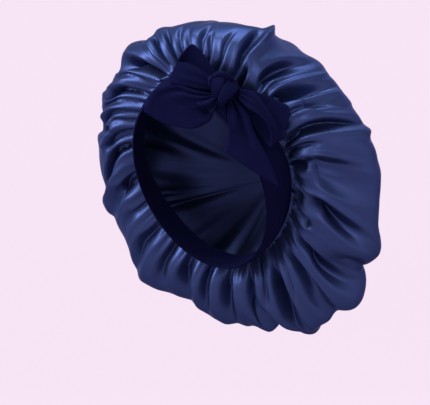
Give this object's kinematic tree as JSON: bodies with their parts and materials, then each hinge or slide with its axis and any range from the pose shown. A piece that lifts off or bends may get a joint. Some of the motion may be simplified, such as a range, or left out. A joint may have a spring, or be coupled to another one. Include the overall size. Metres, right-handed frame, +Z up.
{
  "type": "sleep bonnet",
  "caption": "Puffed satin sleep bonnet, gathered all round onto a wide jersey band that is tied in a bow over the left temple.",
  "frame": {"origin": "middle of the band's loop, in the middle of the head that wears it", "axes": "+Z up, the wearer faces -Y, and the wearer's left is +X; the band's opening leans back 33 degrees from upright"},
  "size_m": [0.3675, 0.2926, 0.373],
  "materials": {
    "satin": "glossy woven satin",
    "jersey": "matt stretch jersey"
  },
  "bodies": {
    "root": {"crown": "satin", "band": "jersey", "bow_knot": "jersey", "bow_loop_front": "jersey", "bow_loop_side": "jersey", "bow_tail_front": "jersey", "bow_tail_side": "jersey"}
  },
  "joints": []
}
